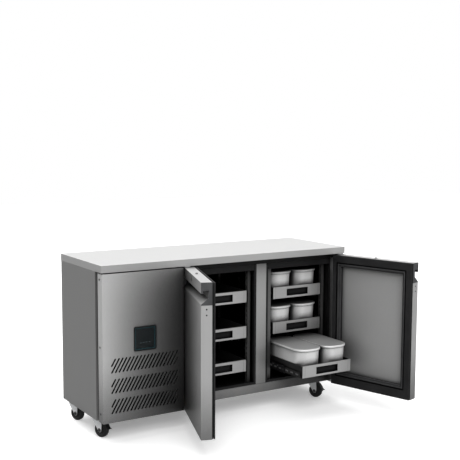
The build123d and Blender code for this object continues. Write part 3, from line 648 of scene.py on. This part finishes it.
# (roll, height) of a fork leg, and the cross range of each leg
LEG_OUTLINE = [
    (-22, 90.6), (-12, 91.0), (24, 91.0), (33, 88.0), (TRAIL + 13, 60), (TRAIL + 11, 38),
    (TRAIL + 8, 29.5), (TRAIL, 26.5), (TRAIL - 8, 29.5), (TRAIL - 12, 40), (-6, 62), (-20, 82),
]
LEG_INNER, LEG_OUTER = 16.1, 18.4
# (roll, cross) of the fork's bridge, and its heights
CROWN_OUTLINE = mirrored(
    [(-25, -10), (-20, -16.5), (-12, -LEG_OUTER), (28, -LEG_OUTER), (33, -15)],
    middle=(34, 0)) + [(-26, 0)]
CROWN_BOTTOM, CROWN_TOP = 87.2, 91.4


def about_axle(radius, degrees):
    angle = math.radians(degrees)
    return (TRAIL + radius * math.cos(angle), WHEEL_RADIUS + radius * math.sin(angle))


# (roll, height) of the brake pedal: over the tread to a toe tab, then back underneath
PEDAL_UPPER = [
    (30.0, 86.6), (37.0, 86.2),
    *[about_axle(*arc) for arc in ((49.0, 62), (47.5, 52), (46.0, 42), (45.2, 32), (45.0, 24))],
    (68.2, 51.0), (73.5, 49.6), (74.4, 47.8), (73.2, 46.6),
]
PEDAL_LOWER = [
    (66.0, 46.8),
    *[about_axle(*arc) for arc in ((41.3, 20), (41.2, 32), (41.6, 44), (42.6, 56))],
    (37.0, 81.0), (30.0, 81.6),
]
# (cross, how far the upper line drops there)
PEDAL_STATIONS = [
    (-13.0, 2.2), (-11.5, 0.9), (-8.0, 0.2), (0.0, 0.0), (8.0, 0.2), (11.5, 0.9), (13.0, 2.2),
]


def revolve(section, segments, place):
    """A closed section turned full circle; place gives the point for (radius, along, angle)."""
    bm = bmesh.new()
    bridge_round(bm, [
        add_ring(bm, [place(radius, along, 2 * math.pi * i / segments)
                      for radius, along in section])
        for i in range(segments)
    ])
    return bm


def revolve_on_axle(axle, section, segments):
    return revolve(section, segments, lambda radius, cross, angle: (
        axle + (ROLL * math.cos(angle) + UP * math.sin(angle)) * (radius * MM)
        + CROSS * (cross * MM)))


def build_wheel(corner, axle):
    body = "wheel_" + corner
    wheel = add_mesh(body, revolve_on_axle(axle, WHEEL_SECTION, 72), TREAD, body, smooth=40)
    # stiffening ribs in the dish on both faces
    bm = bmesh.new()
    for i in range(WHEEL_RIBS):
        angle = 2 * math.pi * i / WHEEL_RIBS
        outward = ROLL * math.cos(angle) + UP * math.sin(angle)
        sideways = ROLL * -math.sin(angle) + UP * math.cos(angle)
        for face in (-1, 1):
            rib = add_ring(bm, [
                axle + outward * (reach * MM) + sideways * (offset * MM)
                + CROSS * (face * depth * MM)
                for reach in RIB_REACH for offset in RIB_SIDES for depth in RIB_DEPTH])
            for indices in BOX_FACES:
                bm.faces.new([rib[index] for index in indices])
    ribs = add_mesh("wheel_ribs_" + corner, bm, TREAD, body)
    round_edges(ribs, width=0.0004, segments=2)
    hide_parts("castor_%s_wheel" % corner)


def build_fork(corner, at):
    """Two tapered legs and a bridge over the wheel."""
    bm = bmesh.new()
    for near, far in ((-LEG_OUTER, -LEG_INNER), (LEG_INNER, LEG_OUTER)):
        prism(bm, [at(x, near, z) for x, z in LEG_OUTLINE],
              [at(x, far, z) for x, z in LEG_OUTLINE])
    prism(bm, [at(x, y, CROWN_BOTTOM) for x, y in CROWN_OUTLINE],
          [at(x, y, CROWN_TOP) for x, y in CROWN_OUTLINE])
    fork = add_mesh("fork_" + corner, bm, ZINC, "castor_" + corner)
    round_edges(fork, width=0.0009, segments=3, limit_method="ANGLE")
    return fork


def build_race_and_bolt(corner, axle, at):
    bm = revolve(RACE_SECTION, 48, lambda radius, z, angle: at(
        radius * math.cos(angle), radius * math.sin(angle), z))
    race = add_mesh("swivel_race_" + corner, bm, ZINC, "castor_" + corner)
    bolt = add_mesh("axle_bolt_" + corner, revolve_on_axle(axle, BOLT_SECTION, 48), SCREW,
                    "castor_" + corner, smooth=40)


def build_pedal(corner, at):
    """A hood that hugs the tread and ends in a toe tab."""
    bm = bmesh.new()
    bridge_capped(bm, [
        add_ring(bm, [at(x, cross, z - drop) for x, z in PEDAL_UPPER]
                 + [at(x, cross, z) for x, z in PEDAL_LOWER])
        for cross, drop in PEDAL_STATIONS
    ])
    pedal = add_mesh("brake_pedal_" + corner, bm, PEDAL, "castor_" + corner, smooth=50)


def build_castor(corner):
    swivel = Vector(joints["castor_%s_swivel" % corner]["pos_m"])
    axle = Vector(joints["wheel_%s_roll" % corner]["pos_m"])
    foot = Vector((swivel.x, swivel.y, 0.0))

    def at(roll, cross, z):
        return foot + ROLL * (roll * MM) + CROSS * (cross * MM) + Vector((0, 0, z * MM))

    build_wheel(corner, axle)
    fork = build_fork(corner, at)
    build_race_and_bolt(corner, axle, at)
    build_pedal(corner, at)
    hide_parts("castor_%s_fork" % corner)


for corner in CORNERS:
    build_castor(corner)


# ---------------------------------------------------------------- floor
def floor_material():
    """Matt pale floor that glows a little, to the camera only."""
    glow = 0.24
    m = Material("floor_pale")
    cloud = m.noise(3.0, detail=3.0, rough=0.55)
    to_camera = m.node("LightPath").outputs["Is Camera Ray"]
    return m.finish({
        "Base Color": m.mix(m.ramp(cloud), (0.925, 0.925, 0.925), (0.94, 0.94, 0.94)),
        "Roughness": 0.9, "Specular IOR Level": 0.0,
        "Emission Color": (1.0, 1.0, 1.0),
        "Emission Strength": m.calc("MULTIPLY", to_camera, glow),
    })


bm = bmesh.new()
bmesh.ops.create_grid(bm, x_segments=1, y_segments=1, size=14.0)
mesh = bpy.data.meshes.new("floor")
bm.to_mesh(mesh)
bm.free()
floor = bpy.data.objects.new("floor", mesh)
floor.location = (0, 0, -0.0005)  # just under the wheels
scene.collection.objects.link(floor)
mesh.materials.append(floor_material())
floor.visible_glossy = False


# ---------------------------------------------------------------- world
def build_world():
    """White to the camera, a soft dome for diffuse light and a painted studio for gloss."""
    world = bpy.data.worlds.new("studio")
    scene.world = world
    world.use_nodes = True
    world.cycles.sampling_method = "NONE"
    w = Tree(world.node_tree)
    output = w.node("OutputWorld")
    x, y, z = w.split(w.node("TexCoord").outputs["Generated"])

    def add(a, b):
        return w.calc("ADD", a, b)

    def times_level(value, level):
        return w.calc("MULTIPLY", value, level)

    def step(value, start, end):
        return w.ramp(value, start=start, end=end, interpolation_type="SMOOTHSTEP")

    def lobe(toward_x, toward_y, start, end):
        """A patch in a level direction, rising as the view turns from start to end."""
        facing = add(times_level(x, toward_x), times_level(y, toward_y))
        return step(facing, start=start, end=end)

    # reflection strengths
    room, right_source, right_gap, left_strip, rear, ceiling = 0.14, 0.62, 0.30, 0.7, 0.08, 0.74
    # the broad right source keeps `foot` of its strength low down and gains `rise` above
    foot, rise = 0.35, 0.65
    # diffuse dome: strength at the bottom and what is added towards the top
    dome_bottom, dome_rise = 0.20, 0.40

    upper = step(z, start=-0.05, end=0.45)
    lower = w.calc("SUBTRACT", 1.0, upper)
    height = add(foot, times_level(step(z, start=-0.36, end=-0.10), rise))
    broad = times_level(lobe(toward_x=0.56, toward_y=-0.83, start=0.68, end=0.96), height)
    gap = lobe(toward_x=0.136, toward_y=-0.987, start=0.955, end=0.999)
    strip = lobe(toward_x=-0.135, toward_y=-0.987, start=0.97, end=0.999)
    behind = step(y, start=0.0, end=0.9)

    level = add(room, times_level(broad, right_source))
    level = w.calc("SUBTRACT", level, times_level(gap, right_gap))
    level = w.calc("MAXIMUM", level, times_level(strip, left_strip))
    level = add(level, times_level(behind, rear))
    level = add(times_level(level, lower), times_level(upper, ceiling))
    dome = add(dome_bottom, times_level(step(z, start=-0.2, end=0.9), dome_rise))

    gloss = w.node("Background", {"Strength": level})
    diffuse = w.node("Background", {"Strength": dome})
    backdrop = w.node("Background", {"Strength": 1.0, "Color": (1.0, 1.0, 1.0)})
    rays = w.node("LightPath").outputs
    lit = w.node("MixShader", {
        0: rays["Is Glossy Ray"], 1: diffuse.outputs[0], 2: gloss.outputs[0]})
    seen = w.node("MixShader", {
        0: rays["Is Camera Ray"], 1: lit.outputs[0], 2: backdrop.outputs[0]})
    w.feed(output.inputs[0], seen.outputs[0])


build_world()


# ---------------------------------------------------------------- lights
def softbox(name, azimuth, elevation, strength, angle):
    """A wide, far source; azimuth is degrees left of straight in front."""
    azimuth, elevation = math.radians(azimuth), math.radians(elevation)
    toward = Vector((-math.sin(azimuth) * math.cos(elevation),
                     -math.cos(azimuth) * math.cos(elevation), math.sin(elevation)))
    light = bpy.data.lights.new(name, "SUN")
    light.energy = strength
    light.angle = math.radians(angle)
    obj = bpy.data.objects.new(name, light)
    obj.rotation_euler = (-toward).to_track_quat("-Z", "Y").to_euler()
    obj.location = toward * 4.0
    obj.visible_glossy = False
    scene.collection.objects.link(obj)


softbox("softbox_key", azimuth=24, elevation=35, strength=0.78 * math.pi, angle=40.0)
softbox("softbox_back", azimuth=170, elevation=60, strength=0.74 * math.pi, angle=85.0)


# ---------------------------------------------------------------- camera
def build_camera(yaw, pitch, roll):
    """In front and to the left; yaw is right of +Y, pitch is downward, all in degrees."""
    yaw, pitch, roll = math.radians(yaw), math.radians(pitch), math.radians(roll)
    lens = bpy.data.cameras.new("camera")
    camera = bpy.data.objects.new("camera", lens)
    scene.collection.objects.link(camera)
    lens.sensor_width = 36.0
    lens.lens = 70.0747
    lens.clip_start, lens.clip_end = 0.05, 60.0
    camera.location = Vector((-2.41519, -3.79633, 1.45973))
    forward = Vector((math.sin(yaw) * math.cos(pitch), math.cos(yaw) * math.cos(pitch),
                      -math.sin(pitch)))
    level_right = Vector((math.cos(yaw), -math.sin(yaw), 0.0))
    level_up = level_right.cross(forward)
    right = level_right * math.cos(roll) + level_up * math.sin(roll)
    up = level_up * math.cos(roll) - level_right * math.sin(roll)
    camera.rotation_mode = "QUATERNION"
    camera.rotation_quaternion = Matrix((right, up, -forward)).transposed().to_quaternion()
    scene.camera = camera


build_camera(yaw=31.7496, pitch=6.1188, roll=0.2476)
scene.view_settings.view_transform = "Standard"
scene.view_settings.look = "None"
